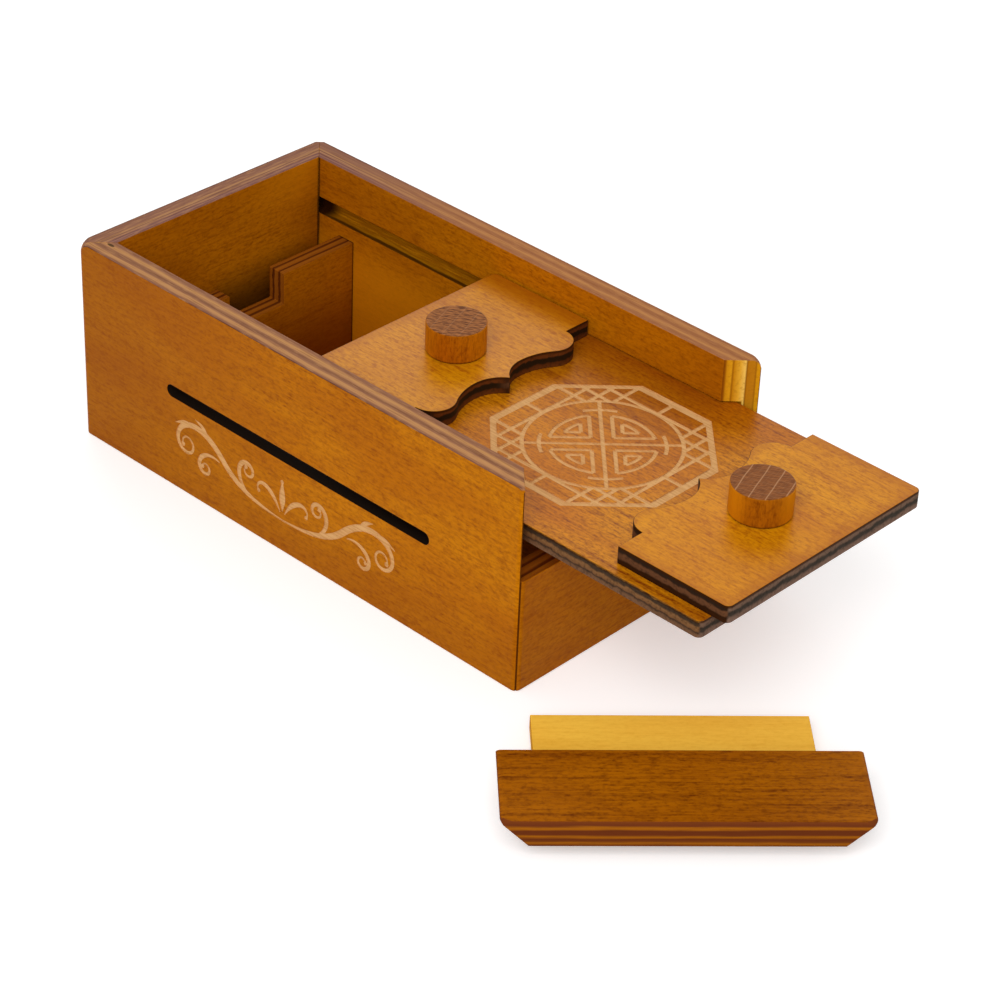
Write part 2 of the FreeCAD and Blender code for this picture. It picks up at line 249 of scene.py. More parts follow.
# Marks in the wood: length and width in mm, detail, where their noise begins to show and is full, and
# strength, if it isn't the board that says it.
TONE_PATCHES = (60, 26, 2.0, 0.36, 0.64, 1.0)
STREAKS = (90, 2.2, 3.0, 0.46, 0.80)
FLECKS = (
    (11.0, 0.45, 2.0, 0.42, 0.80, 0.32),
    (4.0, 0.90, 2.0, 0.40, 0.76, 0.50),
    (1.3, 0.80, 2.0, 0.42, 0.70, 0.45),
    (2.2, 0.45, 2.0, 0.64, 0.76, 0.60),
)
PLY_FIBRES = (9, 0.3, 3.0, 0.48, 0.78, 0.6)
PALE_RIM_FIBRES = (5, 0.5, 3.0, 0.48, 0.70, 0.5)
DARK_RIM_FIBRES = (7, 0.8, 3.0, 0.50, 0.68)
MITRE_STAINS = (1.1, 1.1, 3.0, 0.45, 0.75, 0.4)
GROOVE_FIBRES = (9, 0.7, 3.0, 0.38, 0.66, 1.0)
CHAR_SPECKS = (0.9, 0.9, 3.0, 0.44, 0.72, 0.45)
ENGRAVED_FIBRES = (9, 0.5, 3.0, 0.35, 0.70, 1.0)
ENGRAVED_SPECKS = (0.6, 0.6, 2.0, 0.58, 0.76, 0.45)
ZINC_SPOTS = (0.8, 0.8, 3.0, 0.4, 0.7, 1.0)

# Waves in a border: length and width in mm, detail, and height in shares of the thickness, or mm of scorch.
PLY_WAVES = (26, 1.8, 2.0, 0.16)
BURN_WAVES = (2.8, 2.8, 3.0, 0.36)
LIP_WAVES = (9, 1.5, 3.0, 0.22)
SCORCH_WAVES = (6.0, 6.0, 2.0, 4.0)

# How strong the streaks and the flecks are on each kind of face.
OUTER_GRAIN = (0.2, 0.85)
INNER_GRAIN = (0.2, 0.7)
INSIDE_BOARD_GRAIN = (0.3, 0.7)
LID_GRAIN = (0.5, 0.9)
PLATE_GRAIN = (0.3, 0.9)
END_GRAIN = (0.6, 0.7)
TONGUE_GRAIN = (0.25, 0.4)
KNOB_GRAIN = (0.4, 0.8)

# The boards that lie flat: turn in degrees, tones, grain, plies and the tone of their fibres, roughness.
FLAT_BOARDS = {
    "bottom_panel": (0.0, INNER_TONES, INSIDE_BOARD_GRAIN, STAINED_PLIES, EDGE_SHADE, (0.42, 0.58)),
    "end_board": (END_PANEL_TURN, END_TONES, END_GRAIN, END_PLIES, EDGE_SHADE, (0.40, 0.52)),
    "end_tongue": (END_PANEL_TURN, TONGUE_TONES, TONGUE_GRAIN, MITRE_PLIES, GOLD_SHADE, (0.42, 0.52)),
}

# Painted light and shade, and the rim's warm tone: where each begins and is full along an axis, in mm, and
# its strength at both, or that alone.
# Painted shade on the front wall towards its left end and its foot, and over all of the low wall.
FRONT_LEFT_SHADE = (20.0, -88.0, 0.0, 0.55)
FRONT_FOOT_SHADE = (26.0, 0.0, 0.0, 0.42)
LOW_WALL_SHADE = 0.3
# Painted light below the back wall's groove and high on the left wall's far half, and a painted shadow low
# on the left wall.
BELOW_GROOVE_LIGHT = (GROOVE[0], 30.0, 0.0, 0.6)
LEFT_FOOT_SHADOW = (42.0, 24.0, 0.0, 0.75)
LEFT_TOP_LIGHT = (46.0, 60.0, 0.0, 0.48)
LEFT_LIT_HALF = (0.0, 34.0)
# Painted shade low on the boards inside the box.
INSIDE_BOARD_SHADE = (36.0, 8.0, 0.15, 0.75)
WARM_RIM_REACH = (-86.0, 0.0)
WARM_RIM_SHARE = 0.4
# Painted shade at the groove's left end.
GROOVE_END_SHADE = (-73.0, -79.0)
# The length in the box over which the lid and plates get a painted shadow of the back wall.
BACK_SHADOW_LENGTH = (105.0, 65.0)

# The lid and its plates: how far they are scorched, and from how far off in mm and how strongly a painted
# shadow of the back wall darkens them towards their back edge in the box.
LID_SCORCH = 0.2
PLATE_SCORCH = 0.55
LID_BACK_SHADOW = (50.0, 0.6)
PLATE_BACK_SHADOW = (13.0, 0.8)

# Dark borders: how far off they begin and are full, in mm, and their strength at both. The wide band at a
# seam is painted shade in the corner, and the line at a knob's foot is a painted contact shadow.
SEAM_LINE = (0.9, 0.3, 0.0, 0.8)
SEAM_CORNER_SHADE = (6.0, 0.0, 0.0, 0.12)
KNOB_FOOT_SHADOW = (0.9, 0.1, 0.0, 0.7)
SCORCH_REACH = (4.5, -0.4)

# The same in shares of the knot's size, squared, and of a board's thickness.
KNOT_BORDER = (1.2, 0.5, 0.0, 0.8)
GROOVE_LIP = (0.75, 0.85, 0.0, 0.85)
BURNT_ARRIS = (0.17, 0.09, 0.0, 0.8)

# Which way a surface faces, as a part of its normal, where it begins to count as this and where it does.
OUTER_FACE = (0.45, 0.60)
INNER_FACE = (-0.82, -0.95)
OUTER_SIDE = (-0.3, 0.3)
RIM_FACE = (0.15, 0.45)
UPRIGHT_FACE = (0.5, 0.3)
JOINT_FACE = (-0.68, -0.60)
BOARD_FACE = (0.75, 0.92)
BURNT_BOARD_FACE = (0.86, 0.97)
BURNT_END_FACE = (0.55, 0.85)
KNOB_TOP_FACE = (0.6, 0.85)
# Where a knob's side turns far enough to the camera's left and right to get painted light.
LIT_SIDE_FACE = (0.35, 0.9)

# How far below the top of a wall its rim begins and is full, in mm.
RIM_DROP = (2.2, 1.4)

# Where the noise of the fibres gives the lowest and the highest roughness.
FIBRE_NOISE = (0.3, 0.7)

# Gloss of the varnish: its warm tint, and how much it mirrors on boards, lid and plates.
VARNISH = (1.0, 0.70, 0.15, 1.0)
SATIN = 0.04
POLISHED = 0.09
BRIGHT = 0.14

# The direction, along the camera's right, in which a knob's sides get painted light at both ends: degrees
# from X.
LIT_SIDES_TURN = 42

# The dashes on the knobs' tops: degrees from X, length and width in mm, and where their noise shows.
DASH_TURN = 32
DASH = (2.6, 0.42)
DASH_NOISE = (0.40, 0.62)

# The rays on the knobs' tops: degrees from X, spacing in mm, waviness, strength. A ray's waves, and where
# it begins and is full, in shares of the spacing.
RAYS = ((110, 4.3, 0.15, 0.85), (20, 2.6, 0.7, 0.25), (103, 1.1, 0.6, 0.22))
RAY_WAVES = (9.0, 9.0, 1.0)
RAY_FADE = (0.055, 0.015)

# The camera: degrees of azimuth, elevation and roll, focal length and film width in mm, place in metres.
CAMERA_TURNS = (42.541, 33.585, 2.518)
CAMERA_LENS = 112.727
CAMERA_FILM = 36.0
CAMERA_PLACE = Vector((0.53196, -0.54035, 0.5015))
CAMERA_NEAR = 0.05

# The lamps: name, place, aim, width and height in metres, and how bright the face is, where 1 is white.
LAMPS = (
    ("back_softbox", (-0.96, 1.04, 0.94), (0.03, 0.0, 0.05), 1.6, 1.1, 1.4),
    ("front_softbox", (0.5, -0.75, 0.8), (0.03, 0.0, 0.03), 0.8, 0.8, 4.1),
)

# The light of the surround, where 1 is white.
SURROUND_LIGHT = 0.54

# The floor: size in metres, drop below the object in mm, and tone.
FLOOR_SIZE = 6.0
FLOOR_DROP = 0.2
FLOOR_TONE = (0.86, 0.86, 0.86, 1.0)

# What the floor needs beside its light to look white, near the object and far from the lamps, and the
# distances between which it changes, in metres.
FLOOR_WHITE = (0.36, 0.54)
FLOOR_REACH = (0.4, 1.6)

WHITE = (1.0, 1.0, 1.0, 1.0)


class Graph:
    """A tree of nodes. What goes into a node is another node's socket or a plain value."""

    def __init__(self, tree):
        self.tree = tree

    def put(self, socket, value):
        if isinstance(value, bpy.types.NodeSocket):
            self.tree.links.new(value, socket)
        else:
            socket.default_value = value

    def add(self, kind, values, **settings):
        node = self.tree.nodes.new(kind)
        for name, value in settings.items():
            setattr(node, name, value)
        for key, value in values.items():
            self.put(node.inputs[key], value)
        return node

    def math(self, operation, *values):
        return self.add("ShaderNodeMath", dict(enumerate(values)), operation=operation).outputs[0]

    def mix(self, share, first, second):
        values = {0: share, 6: first, 7: second}
        return self.add("ShaderNodeMix", values, data_type="RGBA").outputs[2]

    def rise(self, value, low, high, to_low=0.0, to_high=1.0):
        """Goes smoothly from to_low, where value is low, to to_high, where it is high."""
        values = {"Value": value, "From Min": low, "From Max": high, "To Min": to_low, "To Max": to_high}
        return self.add("ShaderNodeMapRange", values, interpolation_type="SMOOTHSTEP").outputs[0]

    def within(self, value, low, high, soft):
        """1 between low and high, 0 outside, with soft borders."""
        enters = self.rise(value, low - soft, low + soft)
        leaves = self.rise(value, high + soft, high - soft)
        return self.math("MULTIPLY", enters, leaves)

    def ramp(self, value, stops):
        """A colour that goes through stops, each a place from 0 to 1 and its colour."""
        node = self.add("ShaderNodeValToRGB", {"Fac": value})
        elements = node.color_ramp.elements
        for place, colour in stops[1:-1]:
            elements.new(place).color = colour
        elements[0].position, elements[0].color = stops[0]
        elements[-1].position, elements[-1].color = stops[-1]
        return node.outputs[0]

    def noise(self, vector, detail):
        values = {"Vector": vector, "Scale": 1.0, "Detail": detail, "Roughness": 0.55}
        return self.add("ShaderNodeTexNoise", values).outputs[0]

    def split(self, vector, turn, scale):
        """A vector's X, Y and Z by name, turned back about Z by turn degrees and scaled."""
        if turn:
            values = {"Vector": vector, "Angle": -math.radians(turn)}
            vector = self.add("ShaderNodeVectorRotate", values, rotation_type="Z_AXIS").outputs[0]
        scaled = self.add("ShaderNodeVectorMath", {0: vector, "Scale": scale}, operation="SCALE")
        return self.add("ShaderNodeSeparateXYZ", {0: scaled.outputs[0]}).outputs


class Material(Graph):
    """A material's nodes, with its shader."""

    def __init__(self, name):
        self.material = bpy.data.materials.new(name)
        self.material.use_nodes = True
        super().__init__(self.material.node_tree)
        self.shader = self.tree.nodes["Principled BSDF"]

    def shade(self, values):
        """Gives the shader's inputs their values by name."""
        for name, value in values.items():
            self.put(self.shader.inputs[name], value)

    def finish(self, colour, roughness, height, depth, specular, tint):
        """Joins colour, roughness and a bump of depth mm to the shader, and sets its gloss."""
        bump = self.add("ShaderNodeBump", {"Strength": 0.5, "Distance": depth * MM, "Height": height})
        self.shade({"Base Color": colour, "Roughness": roughness, "Normal": bump.outputs[0]})
        self.shade({"Specular IOR Level": specular, "Specular Tint": tint})
        return self.material


class Board(Material):
    """A board's material. Its axes name the directions along the grain, across and through the board."""

    def __init__(self, name, axes, turn=0.0):
        super().__init__(name)
        source = self.add("ShaderNodeTexCoord", {})
        self.point = self.split(source.outputs["Object"], turn, PER_METRE)
        self.normal = self.split(source.outputs["Normal"], turn, 1.0)
        self.through = axes[2]
        along, across, through = (self.point[axis] for axis in axes)
        self.place = self.add("ShaderNodeCombineXYZ", {0: along, 1: across, 2: through}).outputs[0]

    def grain(self, length, width, detail):
        """Noise drawn out along the grain, with features of this length and width in mm."""
        stretch = (1 / length, 1 / width, 1 / width)
        vector = self.add("ShaderNodeVectorMath", {0: self.place, 1: stretch}, operation="MULTIPLY")
        return self.noise(vector.outputs[0], detail)

    def marks(self, length, width, detail, low, high, strength):
        """Marks along the grain: 0 where their noise is low, strength where it is high."""
        return self.rise(self.grain(length, width, detail), low, high, 0.0, strength)

    def waves(self, value, length, width, detail, height):
        """A value that goes up and down by height in all, in waves of this length and width."""
        wavy = self.math("MULTIPLY_ADD", self.grain(length, width, detail), height, value)
        return self.math("SUBTRACT", wavy, height / 2)

    def depth(self, first, last):
        """0 at the first face of the board and 1 at the last."""
        values = {"Value": self.point[self.through], "From Min": first, "From Max": last}
        return self.add("ShaderNodeMapRange", values, clamp=False).outputs[0]

    def facing(self, axis, low, high):
        """1 where the surface faces along an axis, either way."""
        return self.rise(self.math("ABSOLUTE", self.normal[axis]), low, high)

    def level_part(self, vector, angle, scale=1.0):
        """How far a vector goes in the level direction at angle degrees from X, times scale."""
        turn = math.radians(angle)
        part = self.math("MULTIPLY", vector["X"], math.cos(turn) * scale)
        return self.math("MULTIPLY_ADD", vector["Y"], math.sin(turn) * scale, part)

    def veneer(self, tones, streaks, flecks):
        """A varnished face in three tones: shade, light, and dark for its streaks and flecks."""
        shade, light, dark = tones
        marks = self.marks(*STREAKS, streaks)
        for *fleck, strength in FLECKS:
            marks = self.math("ADD", marks, self.marks(*fleck, strength * flecks))
        return self.mix(marks, self.mix(self.marks(*TONE_PATCHES), shade, light), dark)

    def plies(self, depth, stops, shade):
        """A cut edge that shows the plies, given as stops through the board, with fibres in shade."""
        wood = self.ramp(self.waves(depth, *PLY_WAVES), stops)
        return self.mix(self.marks(*PLY_FIBRES), wood, shade)

    def seam(self, colour, axis, place):
        """Darkens a colour where the board meets another one, at a place along an axis: a dark joint line,
        and painted shade in the corner.
        """
        gap = self.math("ABSOLUTE", self.math("SUBTRACT", self.point[axis], place))
        joint_and_shade = self.math("MAXIMUM", self.rise(gap, *SEAM_LINE), self.rise(gap, *SEAM_CORNER_SHADE))
        return self.mix(joint_and_shade, colour, DARK_SEAM_AND_SHADOW)

    def varnish(self, colour, faces, fibres, gloss, cut, depth=0.05, specular=SATIN):
        """Finishes a varnished board: length and width of its fibres in mm, roughness of faces and cuts."""
        fibre = self.grain(*fibres, detail=3.0)
        shine = self.rise(fibre, *FIBRE_NOISE, *gloss)
        roughness = self.rise(faces, 0.0, 1.0, cut, shine)
        return self.finish(colour, roughness, fibre, depth, specular, VARNISH)


def wall_material(node, axes, outward):
    """A wall of the box: varnished faces with painted light and shade, a sanded rim, bare mitres, a sawn
    groove with painted shade at its end, and a slot burnt and painted dark as in shade.
    """
    board = Board(node + "_ply", axes)
    low, high = extents(node)
    index = "XYZ".index(board.through)
    outer, inner = (low[index], high[index]) if outward < 0 else (high[index], low[index])
    depth = board.depth(outer, inner)

    outside = board.math("MULTIPLY", board.normal[board.through], outward)
    faces = board.math("MAXIMUM", board.rise(outside, *OUTER_FACE), board.rise(outside, *INNER_FACE))
    tones = board.mix(board.rise(outside, *OUTER_SIDE), inner_face(board, node), outer_face(board, node))
    near_top = board.rise(board.point["Z"], high.z - RIM_DROP[0], high.z - RIM_DROP[1])
    on_rim = board.math("MULTIPLY", board.rise(board.normal["Z"], *RIM_FACE), near_top)
    edges = board.mix(on_rim, mitre_colour(board, depth, outside), rim_colour(board, node, depth))
    colour = board.mix(faces, edges, tones)
    if node in ("front_wall", "back_wall"):
        colour = board.mix(in_groove(board, depth), colour, groove_colour(board, depth))
    if node == "front_wall":
        colour = board.mix(knot(board, on_rim), colour, CHAR)
        # The slot's sides: burnt, and painted as dark as the shade deep in the slot.
        burnt_and_shaded = board.math("MULTIPLY", in_slot(board), board.math("SUBTRACT", 1.0, faces))
        colour = board.mix(burnt_and_shaded, colour, CHAR)
    return board.varnish(colour, faces, fibres=(12, 0.4), gloss=(0.36, 0.48), cut=0.68)


def outer_face(board, node):
    """A wall's outer face, with painted shade on the front wall's left end and foot and on the low wall."""
    # Painted shade: darker over the low wall, and towards the front wall's left end and foot.
    darkening = LOW_WALL_SHADE if node == "low_end_wall" else 0.0
    if node == "front_wall":
        to_left = board.rise(board.point["X"], *FRONT_LEFT_SHADE)
        to_foot = board.rise(board.point["Z"], *FRONT_FOOT_SHADE)
        darkening = board.math("MAXIMUM", to_left, to_foot)
    return board.mix(darkening, board.veneer(WALL_TONES, *OUTER_GRAIN), WALL_TONES[2])


def inner_face(board, node):
    """A wall's inner face, with dark seams at other boards, painted shade in the corners, and painted light
    and shadow.
    """
    colour = board.veneer(INNER_TONES, *INNER_GRAIN)
    if node in SEAMS:
        colour = board.seam(colour, *SEAMS[node])
    height = board.point["Z"]
    # Painted light: paler below the groove on the back wall, most towards the bottom.
    if node == "back_wall":
        colour = board.mix(board.rise(height, *BELOW_GROOVE_LIGHT), colour, PAINTED_LIGHT_TONE)
    if node == "left_end_wall":
        # A painted shadow low on the left wall, where the divider casts it.
        colour = board.mix(board.rise(height, *LEFT_FOOT_SHADOW), colour, DARK_SEAM_AND_SHADOW)
        # Painted light high on the left wall's far half.
        far_half = board.rise(board.point["Y"], *LEFT_LIT_HALF)
        lit_far_top = board.math("MULTIPLY", board.rise(height, *LEFT_TOP_LIGHT), far_half)
        colour = board.mix(lit_far_top, colour, PAINTED_LIGHT_TONE)
    return colour


def rim_colour(board, node, depth):
    """A wall's top edge: its plies with pale and dark fibres, on the back wall warmer to the right."""
    stops, dark = RIMS[node]
    rim = board.plies(depth, stops, EDGE_SHADE)
    if dark:
        rim = board.mix(board.marks(*PALE_RIM_FIBRES), rim, PALE_FIBRE)
        rim = board.mix(board.marks(*DARK_RIM_FIBRES, dark), rim, DARK_FIBRE)
    if node == "back_wall":
        plain = board.plies(depth, PLAIN_RIM_PLIES, EDGE_SHADE)
        warm = board.mix(WARM_RIM_SHARE, rim, WARM_RIM)
        rim = board.mix(board.rise(board.point["X"], *WARM_RIM_REACH), plain, warm)
    return rim


def mitre_colour(board, depth, outside):
    """The bare wood of a wall's mitred ends, dark along the joint."""
    bare = board.mix(board.marks(*MITRE_STAINS), board.ramp(depth, MITRE_PLIES), GOLD_SHADE)
    upright = board.facing("Z", *UPRIGHT_FACE)
    joint = board.math("MULTIPLY", upright, board.rise(outside, *JOINT_FACE))
    return board.mix(joint, bare, JOINT)


def in_groove(board, depth):
    """1 in the groove of a long wall."""
    bottom, top = GROOVE
    in_height = board.within(board.point["Z"], bottom - GROOVE_MARGIN, top + GROOVE_MARGIN, soft=0.05)
    return board.math("MULTIPLY", in_height, board.within(depth, *GROOVE_SHARES, soft=0.01))


def groove_colour(board, depth):
    """The sawn groove: stained wood, a rough dark lip, and painted shade at its left end."""
    shade, light, dark = GROOVE_TONES
    wood = board.mix(board.marks(*GROOVE_FIBRES), shade, light)
    lip = board.rise(board.waves(depth, *LIP_WAVES), *GROOVE_LIP)
    # Painted shade at the left end.
    end = board.rise(board.point["X"], *GROOVE_END_SHADE)
    return board.mix(board.math("MAXIMUM", lip, end), wood, dark)


def in_slot(board):
    """1 in the slot of the front wall and on its borders."""
    left, right, bottom, top = SLOT
    in_length = board.within(board.point["X"], left, right, soft=0.1)
    in_height = board.within(board.point["Z"], bottom, top, soft=0.1)
    return board.math("MULTIPLY", in_height, in_length)


def knot(board, on_rim):
    """How dark the small knot on the front wall's rim is."""
    along = board.math("DIVIDE", board.math("SUBTRACT", board.point["X"], KNOT[0]), KNOT[2])
    across = board.math("DIVIDE", board.math("SUBTRACT", board.point["Y"], KNOT[1]), KNOT[3])
    reach = board.math("ADD", board.math("MULTIPLY", along, along), board.math("MULTIPLY", across, across))
    return board.math("MULTIPLY", on_rim, board.rise(reach, *KNOT_BORDER))


def inner_material(node, axes):
    """An upright board inside the box, with stained faces and edges, and painted shade towards its foot."""
    board = Board(node + "_ply", axes)
    low, high = extents(node)
    index = "XYZ".index(board.through)
    depth = board.depth(low[index], high[index])
    faces = board.facing(board.through, *BOARD_FACE)
    # Painted shade towards the foot.
    darkening = board.rise(board.point["Z"], *INSIDE_BOARD_SHADE)
    veneer = board.mix(darkening, board.veneer(INNER_TONES, *INSIDE_BOARD_GRAIN), INSIDE_SHADE_TONE)
    colour = board.mix(faces, board.plies(depth, STAINED_PLIES, EDGE_SHADE), veneer)
    if node in SEAMS:
        colour = board.seam(colour, *SEAMS[node])
    return board.varnish(colour, faces, fibres=(12, 0.4), gloss=(0.42, 0.55), cut=0.66)


def flat_material(node):
    """A board that lies flat: varnished faces, and plies on its edges."""
    turn, tones, grain, plies, shade, gloss = FLAT_BOARDS[node]
    board = Board(node + "_ply", "XYZ", turn)
    low, high = extents(node)
    depth = board.depth(high.z, low.z)
    faces = board.facing("Z", *BOARD_FACE)
    colour = board.mix(faces, board.plies(depth, plies, shade), board.veneer(tones, *grain))
    return board.varnish(colour, faces, fibres=(14, 0.4), gloss=gloss, cut=0.66)


def burnt_material(node, tones, grain, specular, scorch, edges, back_shadow):
    """A thin board cut by burning: varnished faces, scorched along the edges and with a painted shadow near
    their back edge in the box, and charred edges with plies.

    edges are the plies on the edges along the grain and on those across it.
    """
    board = Board(node + "_ply", "XYZ")
    low, high = extents(node)
    depth = board.depth(high.z, low.z)
    faces = board.facing("Z", *BURNT_BOARD_FACE)
    gap = board.waves(edge_gap(board, low, high), *SCORCH_WAVES)
    scorched = board.rise(gap, *SCORCH_REACH, 0.0, scorch)
    # A painted shadow of the back wall towards the back edge inside the box; it darkens together with the
    # scorch.
    reach, strength = back_shadow
    in_box = board.rise(board.point["X"], *BACK_SHADOW_LENGTH, 0.0, strength)
    at_back = board.math("MULTIPLY", in_box, board.rise(board.point["Y"], high.y - reach, high.y))
    darkening = board.math("MAXIMUM", scorched, at_back)
    veneer = board.mix(darkening, board.veneer(tones, *grain), tones[2])
    colour = board.mix(faces, burnt_edges(board, depth, *edges), veneer)
    return board.varnish(
        colour, faces, fibres=(14, 0.45), gloss=(0.28, 0.38), cut=0.72, depth=0.04, specular=specular
    )


def burnt_edges(board, depth, sides, ends):
    """Charred plies, as sides says along the grain and as ends says across it, darkest at the top."""
    wavy = board.waves(depth, *BURN_WAVES)
    across = board.facing("X", *BURNT_END_FACE)
    edges = board.mix(across, board.ramp(wavy, sides), board.ramp(wavy, ends))
    edges = board.mix(board.marks(*CHAR_SPECKS), edges, CHAR)
    return board.mix(board.rise(depth, *BURNT_ARRIS), edges, DARK_SEAM_AND_SHADOW)


def edge_gap(board, low, high):
    """The distance to the nearest side of a board's box, seen from above, in mm."""
    middle = (low + high) / 2
    gaps = []
    for index, axis in enumerate("XY"):
        off_middle = board.math("ABSOLUTE", board.math("SUBTRACT", board.point[axis], middle[index]))
        gaps.append(board.math("SUBTRACT", high[index] - middle[index], off_middle))
    return board.math("MINIMUM", *gaps)


def knob_material(node, tones, pale, top_tones, marks):
    """A slice of dowel: upright grain round the side with painted light and a painted shadow at its foot,
    end grain on top.
    """
    board = Board(node + "_wood", "ZXY")
    low, _ = extents(node)
    tops = board.facing("Z", *KNOB_TOP_FACE)
    colour = board.mix(tops, knob_side(board, low.z, tones, pale), knob_top(board, top_tones, *marks))
    sides = board.math("SUBTRACT", 1.0, tops)
    return board.varnish(
        colour, sides, fibres=(6, 0.35), gloss=(0.34, 0.46), cut=0.56, depth=0.06, specular=0.08
    )


def knob_side(board, foot, tones, pale):
    """A knob's side, with painted light where it turns to the camera's left and right, and a painted
    contact shadow at its foot.
    """
    # Painted light on the sides that turn to the camera's left and right.
    toward_lit_sides = board.math("ABSOLUTE", board.level_part(board.normal, LIT_SIDES_TURN))
    painted_light = board.rise(toward_lit_sides, *LIT_SIDE_FACE, 0.0, pale)
    side = board.mix(painted_light, board.veneer(tones, *KNOB_GRAIN), PAINTED_LIGHT_TONE)
    # A painted contact shadow at the foot.
    height = board.math("SUBTRACT", board.point["Z"], foot)
    return board.mix(board.rise(height, *KNOB_FOOT_SHADOW), side, KNOB_FOOT_SHADOW_TONE)


def knob_top(board, tones, dashes, rays):
    """A knob's top, with dashes and rays as strong as they say."""
    length, width = DASH
    along = board.level_part(board.point, DASH_TURN, 1 / length)
    aside = board.level_part(board.point, DASH_TURN + 90, 1 / width)
    place = board.add("ShaderNodeCombineXYZ", {0: along, 1: aside}).outputs[0]
    noise = board.noise(place, detail=3.0)
    top = board.mix(board.rise(noise, *DASH_NOISE, 0.0, dashes), *tones)
    for angle, spacing, wave, strength in RAYS:
        aside = board.level_part(board.point, angle + 90, 1 / spacing)
        aside = board.math("MULTIPLY_ADD", board.grain(*RAY_WAVES), wave, aside)
        off_ray = board.math("ABSOLUTE", board.math("SUBTRACT", board.math("FRACT", aside), 0.5))
        top = board.mix(board.rise(off_ray, *RAY_FADE, 0.0, strength * rays), top, RAY_TONE)
    return top


def engraving_material(name, axes):
    """Where the stain is burnt away: bare pale wood with its fibres."""
    board = Board(name, axes)
    pale, fibre_tone, speck_tone = ENGRAVED_TONES
    bare = board.mix(board.marks(*ENGRAVED_FIBRES), pale, fibre_tone)
    colour = board.mix(board.marks(*ENGRAVED_SPECKS), bare, speck_tone)
    fibre = board.grain(length=9, width=0.4, detail=3.0)
    roughness = board.rise(fibre, *FIBRE_NOISE, to_low=0.66, to_high=0.8)
    return board.finish(colour, roughness, fibre, depth=0.08, specular=0.05, tint=VARNISH)


def screw_material():
    """Bright zinc with fine scratches."""
    board = Board("screw_zinc", "XYZ")
    colour = board.mix(board.marks(*ZINC_SPOTS), *ZINC_TONES)
    scratches = board.grain(length=3, width=0.12, detail=2.0)
    board.shade({"Metallic": 1.0})
    roughness = board.rise(scratches, *FIBRE_NOISE, to_low=0.28, to_high=0.42)
    return board.finish(colour, roughness, scratches, depth=0.02, specular=0.5, tint=WHITE)


def new_object(name, data):
    """An object in the scene, made of data."""
    made = bpy.data.objects.new(name, data)
    bpy.context.scene.collection.objects.link(made)
    return made


def dress(piece, material):
    """Gives a piece one material."""
    piece.data.materials.clear()
    piece.data.materials.append(material)


def ease(piece, width):
    """Joins the faces of a piece that lie in one plane and eases its sharp edges by width mm."""
    piece.modifiers.new("weld", "WELD").merge_threshold = WELDED * MM
    flat = piece.modifiers.new("flat", "DECIMATE")
    flat.decimate_type = "DISSOLVE"
    flat.angle_limit = math.radians(FLAT_BEND)
    bevel = piece.modifiers.new("ease", "BEVEL")
    bevel.width = width * MM
    bevel.segments = 2
    bevel.limit_method = "ANGLE"
    bevel.angle_limit = math.radians(EASED_BEND)
    bevel.use_clamp_overlap = False
    bevel.loop_slide = False


def smooth(piece, keep_sharp=False):
    """Shades flat faces flat and eased edges round."""
    piece.modifiers.new("smooth", "WEIGHTED_NORMAL").keep_sharp = keep_sharp


def carry_over(node, material, width):
    """Keeps a CAD node as it is, with its own material and eased edges."""
    piece = frame["nodes"][node]
    dress(piece, material)
    ease(piece, width)
    smooth(piece)


def stroke(path, widths):
    """The left and the right side of a stroke along a path, with its width at each point, in mm."""
    left, right = [], []
    for index, point in enumerate(path):
        before = path[max(index - 1, 0)]
        after = path[min(index + 1, len(path) - 1)]
        aside = (after - before).normalized().orthogonal() * (widths[index] / 2)
        left.append(point + aside)
        right.append(point - aside)
    return left, right


def cells(strokes):
    """The four-sided cells that strokes are made of, each with its corners anticlockwise."""
    for left, right in strokes:
        for index in range(len(left) - 1):
            cell = [right[index], right[index + 1], left[index + 1], left[index]]
            if (cell[2] - cell[0]).cross(cell[3] - cell[1]) < 0:
                cell.reverse()
            yield cell


def turned(point, angle):
    """A point turned about the middle."""
    return Matrix.Rotation(angle, 2) @ point


# The octagonal lattice on the lid and the medallion in it, in mm from their middle.
OCTAGON_REACH = 30.2
OCTAGON_FLAT_STROKE = 2.5
OCTAGON_SLANT_STROKE = 1.8
RING_RADIUS = 21.8
RING_STROKE = 1.2
RING_STEPS = 96
LATTICE_LINES = (12.5, 17.4, 22.2)
LATTICE_STROKE = 1.35
MEDALLION_STROKE = 1.15
MEDALLION_FANS = ((4.4, 14.6), (8.0, 11.6))
MEDALLION_CAP = 17.2
MEDALLION_CAP_SPREAD = math.radians(16)


def octagon(flat_reach, slant_reach):
    """Corners of an octagon whose flat and slanting sides are this far from the middle."""
    corner = slant_reach * math.sqrt(2) - flat_reach
    quarter = [Vector((flat_reach, corner)), Vector((corner, flat_reach))]
    return [turned(point, math.tau * turn / 4) for turn in range(4) for point in quarter]


def lattice_bars():
    """Both ends of each straight bar of the lattice, as drawn in one quarter of it."""
    inner, middle, outer = LATTICE_LINES
    slant = OCTAGON_REACH * math.sqrt(2) - OCTAGON_SLANT_STROKE / 2
    flat = OCTAGON_REACH - OCTAGON_FLAT_STROKE / 2
    for mirror in (1, -1):
        for aside, top in ((inner, flat), (middle, slant - middle)):
            foot = math.sqrt(RING_RADIUS**2 - aside**2)
            yield Vector((mirror * aside, top)), Vector((mirror * aside, foot))
    yield Vector((slant - outer, outer)), Vector((outer - slant, outer))
    yield Vector((0.0, flat)), Vector((0.0, RING_RADIUS))


